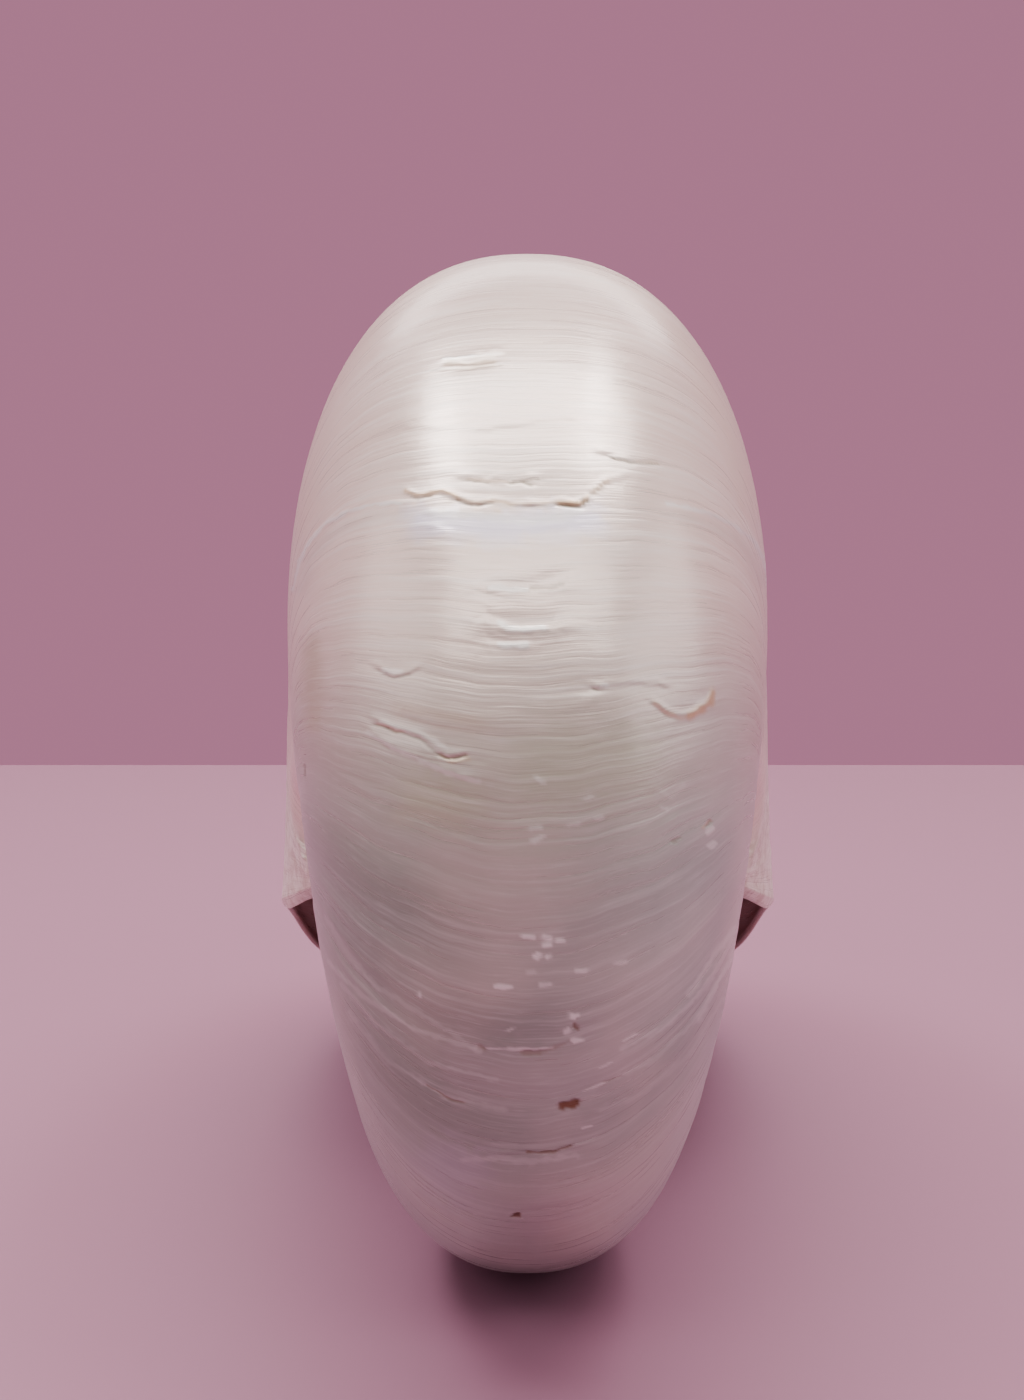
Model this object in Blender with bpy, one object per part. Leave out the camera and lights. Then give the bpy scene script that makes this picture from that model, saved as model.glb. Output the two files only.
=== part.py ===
"""Polished nautilus shell at rest on its lip and its older whorl, in metres, +Z up.

The shell grows forwards along a logarithmic spiral: from under the front, up the
front, over the top and down the back, where its mouth ends at the table. The coil
axis runs along X. Everything is one closed solid: outer sheet, rim, inner wall of
the body chamber, last septum, and the older whorl as the chamber's floor.
"""

import math

import bmesh
import bpy
import numpy as np

# Driving dimensions, in metres and degrees.
LIP_RADIUS = 0.106  # coil axis to the keel at the lip
GROWTH = 0.1916  # radius = LIP_RADIUS * exp(-GROWTH * angle back from the lip)
LIP_ANGLE = -22.55  # direction of the lip from the axis, degrees up from +Y
HALF_WIDTH = 0.400  # widest half-width of a section, as a share of its radius
WIDEST_AT = 0.3527  # where a section is widest, share of its radius
ROUND_POWER = 2.448  # superellipse power of the section outside its widest point, along the radius
SIDE_POWER = 2.253  # and across it
AXIS_WIDTH = 0.392  # half-width where the flank nears the axis, share of radius
LIP_AXIS_WIDTH = 0.2147  # the same at the lip
FLANK_POWER = 2.06
LIP_NARROWING = 0.1895  # how much less wide the mouth is than the coil would make it
NARROWING_SPAN = 180.0  # degrees over which that comes in
NARROWING_POWER = 1.755
PLUG_HEIGHT = 0.0212  # half-width at the closed umbilicus
WALL = 0.0018
RIM_WALL = 0.0014
CHAMBER_SPAN = 150.0  # degrees from the mouth back to the last septum
SEPTUM_DEPTH = 0.014  # how far the septum bows away from the mouth
FLOOR_LAYER = 0.0004  # shell laid on the older whorl inside the chamber
SINUS = 7.5  # degrees the rim is set back at the keel
LOBES = 2.0  # degrees the rim runs forward on each side of the keel
EYE_NOTCH = 4.6  # degrees the rim is set back on each flank
FOOT = 0.0003  # how much is ground flat where the shell touches the table

OUTER_ROWS = 62
CHAMBER_ROWS = 22
SEPTUM_ROWS = 6
HALF_POINTS = 21  # points from the axis to the keel


def section_basis():
    """(rho, edge, near): share of radius, outer width factor and inner fall, axis to keel."""
    inner = np.linspace(0.0, WIDEST_AT, 300)
    fall = (1 - inner / WIDEST_AT) ** FLANK_POWER
    turn = np.linspace(math.pi / 2, 0.0, 500)[1:]
    outer = WIDEST_AT + (1 - WIDEST_AT) * np.cos(turn) ** (2 / ROUND_POWER)
    edge = np.sin(turn) ** (2 / SIDE_POWER)
    rho = np.concatenate([inner, outer])
    edge = np.concatenate([np.ones(300), edge])
    near = np.concatenate([fall, np.zeros(len(outer))])
    width = HALF_WIDTH * edge - (HALF_WIDTH - AXIS_WIDTH) * near
    run = np.concatenate([[0.0], np.cumsum(np.hypot(np.diff(rho), np.diff(width)))])
    share = np.linspace(0.0, 1.0, HALF_POINTS)
    share = share - 0.2 * share * (1 - share) ** 2
    at = share * run[-1]
    rho = np.interp(at, run, rho)
    edge = np.interp(at, run, edge)
    near = np.interp(at, run, near)
    rho[0] = 0.0
    edge[-1] = 0.0
    return rho, edge, near


def ease(value):
    value = np.clip(value, 0.0, 1.0)
    return value * value * (3 - 2 * value)


RHO, EDGE, NEAR = section_basis()


def radius(back):
    """Keel radius this many radians back from the lip."""
    return LIP_RADIUS * np.exp(-GROWTH * back)


def widths(back):
    """Half-width at each section point, before the closed umbilicus is blended in."""
    step = np.clip(back / math.radians(NARROWING_SPAN), 0, 1)
    widest = HALF_WIDTH * (1 - LIP_NARROWING * (1 - step) ** NARROWING_POWER)
    by_axis = LIP_AXIS_WIDTH + (AXIS_WIDTH - LIP_AXIS_WIDTH) * np.clip(back / math.radians(120), 0, 1)
    return (widest * EDGE - (widest - by_axis) * NEAR) * radius(back)


def outer_half(back):
    """Section (r, x) of the outer surface, from the axis to the keel."""
    x = widths(back)
    blend = 0.05 + 0.30 * ease(back / math.radians(220.0))
    return RHO * radius(back), PLUG_HEIGHT + (x - PLUG_HEIGHT) * ease(RHO / blend)


def rim_shift():
    """Radians each point of the rim lies back from the lip angle, from axis to keel."""
    width = widths(0.0) / radius(0.0)
    keel = ease(1 - width / 0.17) * (RHO > 0.6)
    lobe = ease(1 - np.abs(width - 0.20) / 0.13) * (RHO > 0.6)
    notch = np.exp(-(((RHO - 0.3) / 0.2) ** 2))
    return np.radians(SINUS * keel - LOBES * lobe + EYE_NOTCH * notch)


def offset(r, x, by):
    """The section moved inwards by this much, square to itself."""
    tr = np.gradient(r)
    tx = np.gradient(x)
    size = np.hypot(tr, tx)
    nr, nx = -tx / size, tr / size
    nr[-1], nx[-1] = 1.0, 0.0
    return r - by * nr, np.maximum(x - by * nx, 0.0)


def chamber_corner(back):
    """(r, x) where the chamber's outer wall and its floor meet, beside the axis."""
    wall_x = widths(back)[2]
    floor_x = widths(back + 2 * math.pi)[0]
    return 0.06 * radius(back), 0.5 * (wall_x + floor_x)


def inner_half(back, by):
    """Section of the chamber's outer wall, from its corner by the axis to the keel."""
    r, x = outer_half(back)
    r_in, x_in = offset(r, x, by)
    corner_r, corner_x = chamber_corner(back)
    mix = np.sqrt(ease(RHO / 0.2))
    r_in = np.maximum(r_in, corner_r + 0.4 * RHO * radius(back))
    x_in = corner_x + (x_in - corner_x) * mix
    r_in[0] = corner_r
    x_in[-1] = 0.0
    return r_in, x_in


def floor_half(back):
    """Section of the older whorl under the chamber, from the same corner to its keel."""
    older = back + 2 * math.pi
    corner_r, corner_x = chamber_corner(back)
    r = RHO * radius(older) + FLOOR_LAYER * ease(RHO / 0.4)
    x = widths(older) + FLOOR_LAYER
    x = corner_x + (x - corner_x) * ease(RHO / 0.5) ** 0.6
    r = np.maximum(r, corner_r + 0.12 * RHO * radius(back))
    r[0] = corner_r
    x[-1] = 0.0
    return r, x


def place(r, x, angle):
    """Both halves of a section as points, left axis end to right axis end."""
    angle = np.broadcast_to(angle, r.shape)
    half = np.stack([x, r * np.cos(angle), r * np.sin(angle)], axis=1)
    left = half * np.array([-1.0, 1.0, 1.0])
    return np.concatenate([left, half[-2::-1]])


def shifted(shape, back, shift):
    """A row whose points each lie their own angle further back."""
    r = np.empty(HALF_POINTS)
    x = np.empty(HALF_POINTS)
    for i, push in enumerate(shift):
        all_r, all_x = shape(back + push)
        r[i], x[i] = all_r[i], all_x[i]
    return r, x


def rows():
    """(points, kind) of every row round the solid, in order."""
    lip = math.radians(LIP_ANGLE)
    turn = 2 * math.pi
    shift = rim_shift()
    found = []
    for step in np.linspace(0.0, 1.0, OUTER_ROWS + 1):
        back = turn * step
        moved = shift * max(0.0, 1 - step / 0.22)
        r, x = shifted(outer_half, back, moved)
        x[-1] = 0.0
        found.append((place(r, x, lip + back + moved), "outer"))
    sept = math.radians(CHAMBER_SPAN)
    for step in np.linspace(0.0, 1.0, CHAMBER_ROWS + 1):
        back = sept * step
        r, x = floor_half(back)
        found.append((place(r, x, lip + back), "floor"))
    r0, x0 = floor_half(sept)
    r1, x1 = inner_half(sept, WALL)
    for step in np.linspace(0.0, 1.0, SEPTUM_ROWS + 2)[1:-1]:
        r = r0 + (r1 - r0) * step
        x = x0 + (x1 - x0) * step
        bow = 4 * step * (1 - step) * np.minimum(1.0, RHO / 0.5)
        angle = lip + sept + bow * SEPTUM_DEPTH / np.maximum(r, 0.02)
        found.append((place(r, x, angle), "septum"))
    for step in np.linspace(1.0, 0.0, CHAMBER_ROWS + 1):
        back = sept * step
        wall = RIM_WALL + (WALL - RIM_WALL) * min(1.0, step / 0.25)
        moved = shift * max(0.0, 1 - back / (0.22 * turn))
        r, x = shifted(lambda at, by=wall: inner_half(at, by), back, moved)
        found.append((place(r, x, lip + back + moved), "wall"))
    return found


def main():
    for item in list(bpy.data.objects):
        bpy.data.objects.remove(item)
    found = rows()
    count = len(found[0][0])
    points = np.concatenate([row for row, _ in found])
    low = points[:, 2].min()
    points[:, 2] = np.maximum(points[:, 2], low + FOOT)
    points -= np.array([0.0, (points[:, 1].min() + points[:, 1].max()) / 2, low + FOOT])
    bm = bmesh.new()
    verts = {}

    def vertex(row, column):
        """One shared point at each end of the outer rows, and one for each pair of chamber rows."""
        kind = found[row][1]
        end = column in (0, count - 1)
        key = (row, column)
        if end and kind == "outer":
            key = ("axis", column)
        if end and kind == "septum":
            key = ("corner", CHAMBER_ROWS, column)
        if end and kind == "floor":
            key = ("corner", row - OUTER_ROWS - 1, column)
        if end and kind == "wall":
            key = ("corner", len(found) - 1 - row, column)
        if key not in verts:
            verts[key] = bm.verts.new(points[row * count + column])
        return verts[key]

    for row in range(len(found)):
        after = (row + 1) % len(found)
        for column in range(count - 1):
            ring = [
                vertex(row, column),
                vertex(after, column),
                vertex(after, column + 1),
                vertex(row, column + 1),
            ]
            face = []
            for item in ring:
                if item not in face:
                    face.append(item)
            if len(face) > 2:
                bm.faces.new(face)
    bmesh.ops.recalc_face_normals(bm, faces=bm.faces[:])
    mesh = bpy.data.meshes.new("nautilus_shell")
    bm.to_mesh(mesh)
    bm.free()
    shell = bpy.data.objects.new("nautilus_shell", mesh)
    bpy.context.scene.collection.objects.link(shell)
    nacre = bpy.data.materials.new("nacre")
    nacre.use_nodes = True
    surface = nacre.node_tree.nodes["Principled BSDF"]
    surface.inputs["Base Color"].default_value = (0.66, 0.58, 0.55, 1.0)
    surface.inputs["Roughness"].default_value = 0.32
    mesh.materials.append(nacre)


main()
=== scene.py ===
"""Polished nautilus shell on a plain pale floor, seen from its front.

The shell is one piece. It starts as a grid primitive, whose rows are laid along the
coil: the outer sheet from the mouth back for one turn, the older whorl inside the
mouth, the last septum and the chamber's wall back to the rim. No operator draws a
growing spiral, so the grid's points are placed by the same growth law as the solid's.
The grid is then merged, closed and turned outwards in edit mode.

The cells that hold a ledge or a small mark are cut finer. Ledges and wrinkles are
relief in the skin. Cracks, amber edges, rust spots, chalky flecks and broad tints are
colours on its points, laid along paths measured in the photograph. Some of them, and
some tones of the material, are painted light and shade: shadow lines under ledges and
wrinkles, highlights and glints on their edges and crests, an iridescent sheen, a warm
glow along the top edges, and shade on the lower whorl and inside the chamber.
"""

import math

import bpy
import numpy as np
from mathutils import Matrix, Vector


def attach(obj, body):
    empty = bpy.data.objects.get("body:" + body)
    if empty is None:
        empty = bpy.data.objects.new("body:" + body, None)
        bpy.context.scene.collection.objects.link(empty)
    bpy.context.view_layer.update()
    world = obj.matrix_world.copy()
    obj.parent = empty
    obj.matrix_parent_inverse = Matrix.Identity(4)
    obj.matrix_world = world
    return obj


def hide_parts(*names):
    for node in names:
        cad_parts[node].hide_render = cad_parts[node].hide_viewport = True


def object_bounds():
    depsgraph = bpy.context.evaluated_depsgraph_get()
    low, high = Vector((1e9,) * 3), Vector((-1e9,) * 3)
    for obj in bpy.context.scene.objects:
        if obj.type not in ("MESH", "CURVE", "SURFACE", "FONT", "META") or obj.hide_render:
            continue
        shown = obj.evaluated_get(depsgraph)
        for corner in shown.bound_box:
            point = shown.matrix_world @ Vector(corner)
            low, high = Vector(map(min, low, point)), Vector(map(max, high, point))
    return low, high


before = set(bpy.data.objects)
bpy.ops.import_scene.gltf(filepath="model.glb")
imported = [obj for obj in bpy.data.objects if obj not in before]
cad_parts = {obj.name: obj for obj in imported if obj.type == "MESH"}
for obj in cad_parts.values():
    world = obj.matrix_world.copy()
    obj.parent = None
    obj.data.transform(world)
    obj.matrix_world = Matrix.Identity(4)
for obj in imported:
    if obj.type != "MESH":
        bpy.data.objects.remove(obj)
cad_low, cad_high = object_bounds()

# The coil, as in the solid: lengths in metres, angles and spans in degrees. Widths and
# places across a section are shares of its radius.
LIP_RADIUS = 0.106  # coil axis to the keel at the lip
GROWTH = 0.1916  # radius = LIP_RADIUS * exp(-GROWTH * angle back from the lip)
LIP_ANGLE = -22.55  # direction of the lip from the axis, up from +Y
AXIS_Y = -0.02263  # where the coil axis lies, from the middle of the box
AXIS_Z = 0.04025
HALF_WIDTH = 0.400
WIDEST_AT = 0.3527
ROUND_POWER = 2.448  # superellipse power outside the widest point, along the radius
SIDE_POWER = 2.253  # and across it
AXIS_WIDTH = 0.392  # half-width where the flank nears the axis
LIP_AXIS_WIDTH = 0.2147  # the same at the lip
AXIS_SPAN = 120.0  # how far back from the lip that has grown to its full width
FLANK_POWER = 2.06
LIP_NARROWING = 0.1895  # how much less wide the mouth is than the coil would make it
NARROWING_SPAN = 180.0
NARROWING_POWER = 1.755
PLUG_HEIGHT = 0.0212  # half-width at the closed umbilicus, in metres
PLUG_BLEND = 0.05  # out to here the flank blends into it at the lip
PLUG_GROWTH = 0.30  # how much further out it does so PLUG_SPAN back
PLUG_SPAN = 220.0
WALL = 0.0018
RIM_WALL = 0.0014
RIM_WALL_SHARE = 0.25  # share of the chamber over which the rim thickens to the wall
CHAMBER_SPAN = 150.0  # from the mouth back to the last septum
SEPTUM_DEPTH = 0.014  # how far the septum bows away from the mouth
BOW_RADIUS = 0.02  # inside this radius its angle grows no further
FLOOR_LAYER = 0.0004  # shell laid on the older whorl inside the chamber
CORNER_RADIUS = 0.06  # radius where the chamber's wall and its floor meet
WALL_RISE = 0.4  # least slope of the chamber's wall away from that corner
WALL_BLEND = 0.2  # the wall leaves the corner over this much of the radius
FLOOR_RISE = 0.12  # the same for the chamber's floor
FLOOR_BLEND = 0.5
FLOOR_BLEND_POWER = 0.6
LAYER_BLEND = 0.4  # out to here the layer on the older whorl thickens
BOW_BLEND = 0.5  # and the septum's bow grows

# The rim's bends, in degrees, and how far across from the keel they lie and reach.
SINUS = 7.5  # set back at the keel
SINUS_REACH = 0.17
LOBES = 2.0  # forward on each side of it
LOBE_AT = 0.20
LOBE_REACH = 0.13
KEEL_SIDE = 0.6  # the sinus and the lobes lie outside this radius
EYE_NOTCH = 4.6  # set back on each flank
NOTCH_AT = 0.3  # radius where that lies
NOTCH_REACH = 0.2
RIM_FADE = 0.22  # share of a turn over which the bends fade behind the rim

# The growth lines' bends, in degrees, placed by their share of the girth from the keel.
KEEL_BEND = 15.5  # how much further back a line lies at the keel than on the flanks
KEEL_BEND_REACH = 0.66
EYE_BEND = 7.0  # the same beside the axis
EYE_BEND_AT = 0.92
EYE_BEND_REACH = 0.16
LINE_SPAN = 80.0  # how far behind the rim the lines have left its shape for these bends

# How finely the grid is divided.
HALF_POINTS = 61
POINT_CROWDING = 0.2  # how much closer the points of a section lie beside the axis
MOUTH_ROWS = 90
FRONT_ROWS = 284
KEEL_ROWS = 36
CHAMBER_ROWS = 30
SEPTUM_ROWS = 8
RIM_ROWS = 3
FRONT_START = 125.0  # degrees back from the lip where the seen front starts
FRONT_END = 285.0
MARK_CUTS = 3  # cuts of each cell that holds a small mark or a ledge
MARK_MARGIN = 4.6  # how far round a mark its cells are cut, in the photograph's pixels
LEDGE_MARGIN = 6.6  # the same round a ledge
FAINT_MARK = 0.21  # marks up to this strength get a third of their margin
MERGE_WITHIN = 0.000002  # metres
SMOOTH_ANGLE = 55.0  # degrees, and edges sharper than this stay sharp

# The rim's rounding, in metres, and its place from the axis out.
RIM_BULGE = 0.0005
EAR_BULGE = 0.0012  # more of it at the mouth's two front corners
EAR_AT = 0.185
EAR_REACH = 0.075
FILM_AND_SHADE_FROM = 0.26  # the chamber's dark colour, partly real film and partly painted shade, covers the rim from here outwards
FILM_AND_SHADE_OVER = 0.08

# Relief of the skin, in metres below the solid's surface.
RELIEF_ROOM = 0.00015  # how far the skin lies inside the solid, so that its relief fits
WANDER_DEPTH = 0.00008
COARSE_DEPTH = 0.00002
FINE_DEPTH = 0.000018
OLD_DEPTH = 0.00002  # more of the last two on the oldest growth
OLD_FROM = 0.22  # where that starts, in metres along the keel from the lip
OLD_OVER = 0.06
DARK_MARK_DEPTH = 0.00014
PALE_MARK_HEIGHT = 0.00005
DARK_MARK_RED = 0.6  # a mark with less red than this is sunk, a paler one stands out
DARK_MARK_RED_OVER = 0.3
CRUMB_DEPTH = 0.00022  # chalky crumbs at the mouth's corners
EAR_LENGTH = 0.13  # how far those corners reach along the keel's run and from the axis
EAR_LENGTH_OVER = 0.05
EAR_GIRTH = 0.045
EAR_GIRTH_OVER = 0.02
PLAIN_WITHIN = 0.004  # the relief fades this close to the floor and to the coil axis

# The form of a ledge and of a wrinkle: shares of the depth in its table, and pixels.
LEDGE_SINK = 0.24  # how much of its step lies below the edge
LEDGE_SWELL = 0.34  # and how much stands above it
LEDGE_SOFT = 3.5  # how softly it turns from one to the other
LEDGE_LEAD = 1.5  # how far above the edge the step starts
WRINKLE_SWELL = 0.55
WRINKLE_RAGGED = 0.5  # how ragged its path is, beside a ledge's
WRINKLE_LIFT = 0.6  # how far above its path a wrinkle's crest lies, in half-widths
WRINKLE_ABOVE = 0.8  # how far it falls off above the crest, in half-widths
WRINKLE_BELOW = 2.0  # and below it
PATH_FADE = 16  # pixels over which a path fades in at its ends
PATH_START = 0.4  # how much of it shows at the very end

# Smooth noise: (length of a cell, its width, its own seed).
WANDER = (0.011, 0.030, 5)  # along and across the growth, in metres
SWAY = (0.010, 0.006, 9)
SWAY_BY = 0.0005  # how far the coarse and fine relief strays along the growth, in metres
COARSE = (0.0040, 0.050, 3)
FINE = (0.0012, 0.020, 4)
CRUMBS = (0.0016, 0.0016, 31)  # along Y and Z, in metres
RAGGED = (6.0, 300.0, 12)  # across and down the photograph, in its pixels
RAGGED_BY = 1.6  # how far an edge strays from its path
BROKEN = (13.0, 60.0, 13)
BROKEN_FROM = 0.62  # middle strength of a broken edge
BROKEN_BY = 0.38
MARK_SIDEWAYS = (5.0, 4.0, 21)
MARK_UPWARDS = (5.0, 4.0, 22)
MARK_BY = 1.1  # how far a mark strays from its path
MARK_SPREAD = (7.0, 5.0, 23)
MARK_SPREAD_BY = 0.45  # how much its width varies
MARK_REACH = 2.2  # a mark is painted within this many half-widths of its path
MARK_REACH_MORE = 3  # and this many pixels more
BLANK = 0.6  # the grey where no mark lies, at no strength

# The camera, found by matching the outline in the photograph.
PHOTO_WIDE = 1024
PHOTO_HIGH = 1400
FOCAL = 1609.8  # in pixels of the photograph
MIDDLE = 527.5  # the shell's middle line in the photograph
SENSOR = 36.0  # the camera's longer side, in millimetres
CAMERA_AWAY = 0.19253  # from the coil axis, in metres
CAMERA_RISE = 12.42  # degrees up from that axis to the camera
CAMERA_DOWN = 6.06  # degrees by which it looks down
FRONT_REACH = 0.01  # marks lie no further behind the coil axis than this

# The floor: a square sheet, stretched sideways, whose far edge lies at FLOOR_END along Y.
FLOOR_SIZE = 2.0
FLOOR_STRETCH = 1.6
FLOOR_END = 0.344
FLOOR_COLOUR = (0.30, 0.135, 0.205, 1)
FLOOR_ROUGHNESS = 0.55

# The nacre's colours. A pair is its darker and its lighter bands or grains.
YOUNG_NACRE = ((0.85, 0.665, 0.585, 1), (0.89, 0.725, 0.645, 1))
# Painted shade: the older whorl at the lower front, which faces down, is made far darker than the young
# nacre.
LOWER_WHORL_SHADE = ((0.208, 0.23, 0.199, 1), (0.242, 0.268, 0.231, 1))
# Painted shade with painted floor bounce: the underside near the floor, less dark than the whorl above it.
UNDERSIDE_SHADE_AND_BOUNCE = (0.41, 0.425, 0.39, 1)
CHALKY_EAR = ((0.60, 0.51, 0.41, 1), (0.88, 0.83, 0.73, 1))
# Partly the chamber's real dark film and partly painted shade: the whole inside of the chamber is made dark
# red-brown.
CHAMBER_FILM_AND_SHADE = ((0.22, 0.07, 0.05, 1), (0.36, 0.18, 0.13, 1))
# Pale white of chalky flecks, and of painted highlights and glints on the ledges' edges and the wrinkles'
# crests.
CHALK_AND_HIGHLIGHT_WHITE = (0.90, 0.87, 0.84)
# Dark brown of cracks and specks, and of painted shadow lines under the ledges' edges and the wrinkles'
# crests.
CRACK_AND_SHADOW_BROWN = (0.20, 0.16, 0.10)
AMBER_BROWN = (0.62, 0.42, 0.26)
RUST_RED = (0.135, 0.057, 0.02)

# Where the nacre turns to the painted shade of the lower front whorl, and then to the less dark painted
# shade of its underside, in metres along the keel from the lip.
LOWER_WHORL_SHADE_RUN = (0.238, 0.274)
UNDERSIDE_SHADE_AND_BOUNCE_RUN = (0.287, 0.306)

# Its gloss, and its roughness from one growth line to the next.
NACRE_GLOSS = {"Metallic": 0.35, "IOR": 1.55, "Coat Weight": 0.28, "Coat Roughness": 0.11}
NACRE_ROUGHNESS = (0.26, 0.38)

# Growth lines on the nacre's map: how often they come along and across the growth, and
# the noise's detail and roughness.
HAIR = ((3400.0, 260.0, 1.0), 2.0, 0.6)
LINES = ((1600.0, 40.0, 1.0), 3.0, 0.6)
BANDS = ((210.0, 9.0, 1.0), 2.0, 0.55)
# The same for clouds and grain, on Object coordinates.
CLOUD = (42.0, 3.0, 0.5)
HAZE = (17.0, 2.0, 0.5)
GRAIN = (2400.0, 2.0, 0.6)
EAR_GRAIN = (520.0, 3.0, 0.7)
# The same for the noise that the lines sway by, and how far, in metres along the growth.
LINE_SWAY = ((110.0, 160.0, 1.0), 1.0, 0.5)
LINE_SWAY_BY = (0.0010, 0.0, 0.0)

# Where a noise turns from one shade to the other.
BAND_EDGE = (0.35, 0.65)
CRUMB_EDGE = (0.35, 0.62)
LINE_EDGE = (0.3, 0.7)
EAR_CHALK = 0.9  # how much the chalk covers at the mouth's corners

# How clouds, and then lines, colour the nacre: (field, from, to, strength, colour).
CLOUDS = (
    ("cloud", 0.42, 0.74, 0.40, (0.70, 0.58, 0.50, 1)),
    ("haze", 0.45, 0.75, 0.30, (0.60, 0.63, 0.66, 1)),
)
STREAKS = (
    ("lines", 0.45, 0.75, 0.38, (0.86, 0.82, 0.79, 1)),
    ("lines", 0.50, 0.25, 0.30, (0.52, 0.42, 0.38, 1)),
    ("hair", 0.50, 0.80, 0.13, (0.50, 0.42, 0.38, 1)),
    ("hair", 0.50, 0.22, 0.20, (0.92, 0.89, 0.87, 1)),
)
OLD_STREAKS = 0.55  # how much of the lines shows on the oldest growth

# What raises the nacre: (field, share of the bump).
RAISED = (("lines", 1.15), ("hair", 0.22), ("grain", 0.10))
BUMP_STRENGTH = 0.45
BUMP_HEIGHT = 0.0001

# Soft boxes: (name, place, size, watts, colour, turn in degrees).
BOX_WHITE = (1.0, 0.98, 0.97)
SIDE_WHITE = (1.0, 0.96, 0.95)
WARM_WHITE = (1.0, 0.955, 0.92)
LIGHTS = (
    ("box_left", (-0.50, 0.07, 1.0), (0.20, 0.62), 3.9, BOX_WHITE, (0, -22, 0)),
    ("box_right", (0.37, 0.07, 1.0), (0.15, 0.62), 2.4, BOX_WHITE, (0, 22, 0)),
    ("side_left", (-1.0, -0.25, 0.50), (0.5, 1.0), 1.7, SIDE_WHITE, (0, -65, 0)),
    ("side_right", (1.0, -0.25, 0.50), (0.5, 1.0), 2.6, SIDE_WHITE, (0, 65, 0)),
    ("back_top", (0, 1.2, 0.95), (1.4, 0.30), 4.5, WARM_WHITE, (-57, 0, 0)),
    ("ceiling", (0, 0.0, 1.3), (1.8, 0.6), 31.0, WARM_WHITE, (0, 0, 0)),
    ("front_top", (0, -0.78, 0.98), (1.8, 0.40), 10.5, WARM_WHITE, (40, 0, 0)),
)
# The studio around them: its dim near side and its rosy far side.
STUDIO_NEAR = (0.08, 0.075, 0.075, 1)
STUDIO_FAR = (0.47, 0.18, 0.29, 1)
STUDIO_BLEND = (-0.6, 0.8)


def ease(value):
    """A soft step from 0 to 1."""
    value = np.clip(value, 0.0, 1.0)
    return value * value * (3 - 2 * value)


def section_basis():
    """(rho, edge, near, girth): section shares from the axis to the keel."""
    inner = np.linspace(0.0, WIDEST_AT, 300)
    fall = (1 - inner / WIDEST_AT) ** FLANK_POWER
    turn = np.linspace(math.pi / 2, 0.0, 500)[1:]
    outer = WIDEST_AT + (1 - WIDEST_AT) * np.cos(turn) ** (2 / ROUND_POWER)
    edge = np.sin(turn) ** (2 / SIDE_POWER)
    rho = np.concatenate([inner, outer])
    edge = np.concatenate([np.ones(len(inner)), edge])
    near = np.concatenate([fall, np.zeros(len(outer))])
    width = HALF_WIDTH * edge - (HALF_WIDTH - AXIS_WIDTH) * near
    run = np.concatenate([[0.0], np.cumsum(np.hypot(np.diff(rho), np.diff(width)))])
    share = np.linspace(0.0, 1.0, HALF_POINTS)
    share = share - POINT_CROWDING * share * (1 - share) ** 2
    at = share * run[-1]
    rho = np.interp(at, run, rho)
    edge = np.interp(at, run, edge)
    near = np.interp(at, run, near)
    rho[0] = 0.0
    edge[-1] = 0.0
    return rho, edge, near, run[-1] - at


RHO, EDGE, NEAR, GIRTH = section_basis()


def radius(back):
    """Keel radius this many radians back from the lip."""
    return LIP_RADIUS * np.exp(-GROWTH * back)


def widths(back):
    """Half-width at each section point, before the closed umbilicus is blended in."""
    step = np.clip(back / math.radians(NARROWING_SPAN), 0, 1)
    widest = HALF_WIDTH * (1 - LIP_NARROWING * (1 - step) ** NARROWING_POWER)
    opened = np.clip(back / math.radians(AXIS_SPAN), 0, 1)
    by_axis = LIP_AXIS_WIDTH + (AXIS_WIDTH - LIP_AXIS_WIDTH) * opened
    return (widest * EDGE - (widest - by_axis) * NEAR) * radius(back)


def outer_half(back):
    """(r, x) of the outer sheet, rows by section points."""
    blend = PLUG_BLEND + PLUG_GROWTH * ease(back / math.radians(PLUG_SPAN))
    x = PLUG_HEIGHT + (widths(back) - PLUG_HEIGHT) * ease(RHO / blend)
    return RHO * radius(back), x


def rim_shift():
    """Radians each point of the rim lies back from the lip angle, axis to keel."""
    width = (widths(0.0) / radius(0.0)).ravel()
    keel = ease(1 - width / SINUS_REACH) * (RHO > KEEL_SIDE)
    lobe = ease(1 - np.abs(width - LOBE_AT) / LOBE_REACH) * (RHO > KEEL_SIDE)
    notch = np.exp(-(((RHO - NOTCH_AT) / NOTCH_REACH) ** 2))
    return np.radians(SINUS * keel - LOBES * lobe + EYE_NOTCH * notch)


SHIFT = rim_shift()


def line_shift():
    """The same for the growth lines away from the rim: a broad bend back over the keel."""
    share = GIRTH / GIRTH[0]
    side = ease(share / KEEL_BEND_REACH)
    eye = np.exp(-(((share - EYE_BEND_AT) / EYE_BEND_REACH) ** 2))
    return np.radians(EYE_BEND * eye - KEEL_BEND * side)


LINE = line_shift()


def inner_half(back, by):
    """(r, x) of the chamber's wall, this far inside the outer sheet."""
    r, x = outer_half(back)
    tr = np.gradient(r, axis=1)
    tx = np.gradient(x, axis=1)
    size = np.hypot(tr, tx)
    nr, nx = -tx / size, tr / size
    nr[:, -1], nx[:, -1] = 1.0, 0.0
    corner_r, corner_x = chamber_corner(back)
    r_in = np.maximum(r - by * nr, corner_r + WALL_RISE * RHO * radius(back))
    x_in = corner_x + (np.maximum(x - by * nx, 0.0) - corner_x) * np.sqrt(ease(RHO / WALL_BLEND))
    r_in[:, 0] = np.broadcast_to(corner_r, r.shape)[:, 0]
    x_in[:, -1] = 0.0
    return r_in, x_in


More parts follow.
